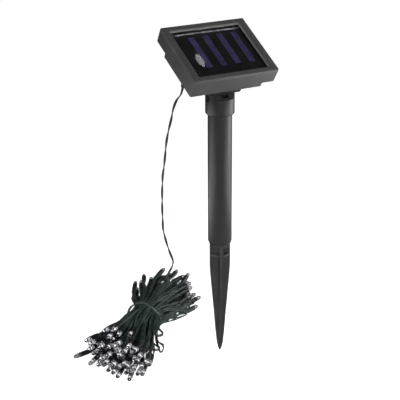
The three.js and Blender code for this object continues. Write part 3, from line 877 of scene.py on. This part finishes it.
# ---------------------------------------------------------------- stake and swivel
COLLAR_RADIUS, COLLAR_BORE, COLLAR_BOTTOM, CAVITY_ROOF, SHOULDER = 15, 12.8, 265.6, 274, 283
PIVOT_HEIGHT, FORK_REACH, FORK_SLOPE = 284, 8.7, math.radians(55)
TONGUE_ROOM, SLOT_HALF = 6.4, 4.2
PIN_BORE, PIN_SEAT, SEAT_FROM = 2.3, 4.2, 11.3
ROUND_SIDES = 96
swivel_turn = Matrix.Rotation(math.atan2(head_x.y, head_x.x), 4, "Z")


def body_piece(name, part, material, slot, body, *nodes, sharp=30):
    piece = new_object(name, part, material, sharp)
    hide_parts(*nodes)
    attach(piece, body)
    return piece


def hollow_turned(profile):
    """A hollow shape turned about Z from a closed outline of (radius, height) pairs."""
    points, _ = turned(profile, ROUND_SIDES)
    rings = [points[i * ROUND_SIDES:(i + 1) * ROUND_SIDES] for i in range(len(profile))]
    return loft(rings, closed=True)


def fork_top():
    """The fork's outline seen from the side: flat behind, round over the pivot, sloping in front."""
    low, back = -5, 16
    front = (math.cos(FORK_SLOPE) * low - FORK_REACH) / math.sin(FORK_SLOPE)
    outline = [(front, low), (back, low), (back, FORK_REACH)]
    for k in range(13):
        angle = math.pi / 2 + FORK_SLOPE * k / 12
        outline.append((FORK_REACH * math.cos(angle), FORK_REACH * math.sin(angle)))
    return outline


def tongue_pocket():
    """The room that the tongue sweeps, seen from the side: upright behind, sloping in front."""
    top, far = 16, -20
    outline = [(TONGUE_ROOM, top), (TONGUE_ROOM, 0)]
    for k in range(1, 13):
        angle = (math.pi / 2 + FORK_SLOPE) * k / 12
        outline.append((TONGUE_ROOM * math.cos(angle), -TONGUE_ROOM * math.sin(angle)))
    y, z = outline[-1]
    return outline + [(far, z + (y - far) / math.tan(FORK_SLOPE)), (far, top)]


def across_pivot(outline, half):
    """A slab of a side view's outline, in millimetres from the pivot, `half` to each side."""
    return loft([[(x, y, PIVOT_HEIGHT + z) for y, z in outline] for x in (-half, half)])


def collar():
    """Sleeve over the tube with a fork on top, where the tongue turns in its pocket."""
    def helper(name, part, matrix=swivel_turn):
        return new_object(name, moved(part, matrix), stake_plastic)

    profile = [
        (COLLAR_BORE, COLLAR_BOTTOM), (13.2, COLLAR_BOTTOM), (13.7, 265.8), (14.7, 266.9),
        (COLLAR_RADIUS, 267.8), (COLLAR_RADIUS, SHOULDER), (6, SHOULDER), (6, CAVITY_ROOF),
        (COLLAR_BORE, CAVITY_ROOF),
    ]
    body = new_object("collar", moved(hollow_turned(profile), swivel_turn), stake_plastic, 30)
    combined(body, helper("web", rod_part(14, 274.4, 282.9, sides=ROUND_SIDES)), "UNION")
    top = helper("top", across_pivot(fork_top(), 16))
    combined(top, helper("column", rod_part(COLLAR_RADIUS, 276, 295, sides=ROUND_SIDES)), "INTERSECT")
    combined(body, top, "UNION")
    combined(body, helper("slot", across_pivot(tongue_pocket(), SLOT_HALF)), "DIFFERENCE")
    lying = swivel_turn @ Matrix.Translation((0, 0, PIVOT_HEIGHT)) @ Matrix.Rotation(math.pi / 2, 4, "Y")
    for radius, x0, x1 in ((PIN_BORE, -20, 20), (PIN_SEAT, -20, -SEAT_FROM), (PIN_SEAT, SEAT_FROM, 20)):
        combined(body, helper("hole", rod_part(radius, x0, x1), lying), "DIFFERENCE")
    return body


collar_piece = collar()
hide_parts("swivel_collar")
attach(collar_piece, "swivel")


TUBE_PROFILE = [
    (8.3, 124.4), (10.4, 124.4), (10.9, 124.6), (12.3, 128), (12.5, 128.5), (12.5, 273.2), (12.3, 273.5),
    (10.5, 273.5), (10.5, 131), (8.3, 131),
]
body_piece("tube", hollow_turned(TUBE_PROFILE), stake_plastic, "stake_plastic", "stake", "stake_tube")

FIN_TURN = math.radians(10)
FIN_EDGE = [
    (0, 0.6), (1.2, 1.1), (3.5, 1.8), (6.5, 2.5), (10.5, 3.2), (16, 3.8), (22, 4.4), (33, 5.3), (45.6, 6.2),
    (62, 7.65), (80, 9.2), (92, 10.2), (100, 10.7), (124.1, 10.7),
]


def fins_part():
    """Four crossed fins that narrow to a point."""
    rings = []
    for z, reach in FIN_EDGE:
        half = min(1.9, 0.55 * reach + 0.1)
        plus = [
            (reach, half), (half, half), (half, reach), (-half, reach), (-half, half), (-reach, half),
            (-reach, -half), (-half, -half), (-half, -reach), (half, -reach), (half, -half), (reach, -half),
        ]
        rings.append([(x, y, z) for x, y in plus])
    return moved(loft(rings), Matrix.Rotation(FIN_TURN, 4, "Z"))


spike = rounded(new_object("spike", fins_part(), spike_plastic), 0.35)
for extra in (
    turned([(9.9, 112.2), (10.2, 112.5), (10.2, 113.8), (9.9, 114.1)], 64), rod_part(8, 122, 145, sides=64),
):
    combined(spike, new_object("extra", extra, spike_plastic), "UNION")
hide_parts("ground_spike")
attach(spike, "stake")

# ---------------------------------------------------------------- floor, light and background


def floor_material():
    """White to the camera, and a dull white in the light that it throws on the object."""
    s = Surface("floor_white", 0.9)
    s.use("Base Color", s.ramp(s.noise(3, 2), (0.3, grey(0.4, 1)), (0.7, grey(0.42, 1))))
    glow = s.nodes.new("ShaderNodeEmission")
    glow.inputs["Strength"].default_value = 0.97
    both = s.nodes.new("ShaderNodeAddShader")
    s.links.new(s.shader.outputs[0], both.inputs[0])
    s.links.new(glow.outputs[0], both.inputs[1])
    seen = s.nodes.new("ShaderNodeLightPath").outputs["Is Camera Ray"]
    mix = s.nodes.new("ShaderNodeMixShader")
    s.links.new(seen, mix.inputs["Fac"])
    s.links.new(s.shader.outputs[0], mix.inputs[1])
    s.links.new(both.outputs[0], mix.inputs[2])
    s.links.new(mix.outputs[0], s.nodes["Material Output"].inputs["Surface"])
    return s.material


def make_floor():
    size = 6000
    corners = [(-size, -size, 0), (size, -size, 0), (size, size, 0), (-size, size, 0)]
    new_object("floor", (np.array(corners), [(0, 1, 2, 3)]), floor_material())


def area_light(name, at, target, size, power, tall=(0, 0, 1), shape="RECTANGLE"):
    """A softbox at a place, facing a target; its second side lies along tall."""
    data = bpy.data.lights.new(name, "AREA")
    data.shape = shape
    data.size, data.size_y = (edge * MM for edge in size)
    data.energy = power
    light = bpy.data.objects.new(name, data)
    bpy.context.scene.collection.objects.link(light)
    back = (Vector(at) - Vector(target)).normalized()
    across = Vector(tall).cross(back).normalized()
    turn = Matrix((across, back.cross(across), back)).transposed()
    light.matrix_world = Matrix.Translation(Vector(at) * MM) @ turn.to_4x4()
    light.visible_camera = False
    return data


def make_world():
    world = bpy.data.worlds.new("studio")
    world.use_nodes = True
    nodes, links = world.node_tree.nodes, world.node_tree.links
    soft = nodes["Background"]
    soft.inputs["Color"].default_value = (1, 1, 1, 1)
    soft.inputs["Strength"].default_value = 0.05
    white = nodes.new("ShaderNodeBackground")
    white.inputs["Color"].default_value = (1, 1, 1, 1)
    white.inputs["Strength"].default_value = 1.0
    seen = nodes.new("ShaderNodeLightPath")
    mix = nodes.new("ShaderNodeMixShader")
    links.new(seen.outputs["Is Camera Ray"], mix.inputs["Fac"])
    links.new(soft.outputs[0], mix.inputs[1])
    links.new(white.outputs[0], mix.inputs[2])
    links.new(mix.outputs[0], nodes["World Output"].inputs["Surface"])
    bpy.context.scene.world = world


make_floor()
make_world()
MIDDLE = (0, 0, 200)
area_light("left_card", (-520, -30, 4), (-520, -30, 100), (600, 620), 1.9, (0, 1, 0))
area_light("right_card", (580, -60, 4), (580, -60, 100), (640, 560), 2, (0, 1, 0))
area_light("right_box", (560, 160, 300), (0, 0, 300), (460, 760), 3)
area_light("key_box", (783, -404, 505), MIDDLE, (300, 200), 3.5)
area_light("rim_box", (-588, -96, 1005), MIDDLE, (120, 120), 2.2)
area_light("front_box", (300, -1500, 700), MIDDLE, (700, 500), 9)
hank_middle = tuple(HANK_WAIST + WAIST_HEIGHT * UP)
hank_box = area_light("hank_box", (-330, -850, 420), hank_middle, (260, 260), 0.3)
hank_box.spread = math.radians(30)
area_light(
    "glint", (246, 318, 1000), (-19.6, -20, 325.4), (9, 25), 0.0016, tall=(14.2, -16, -8.2), shape="ELLIPSE",
)
bpy.context.scene.view_settings.view_transform = "Standard"
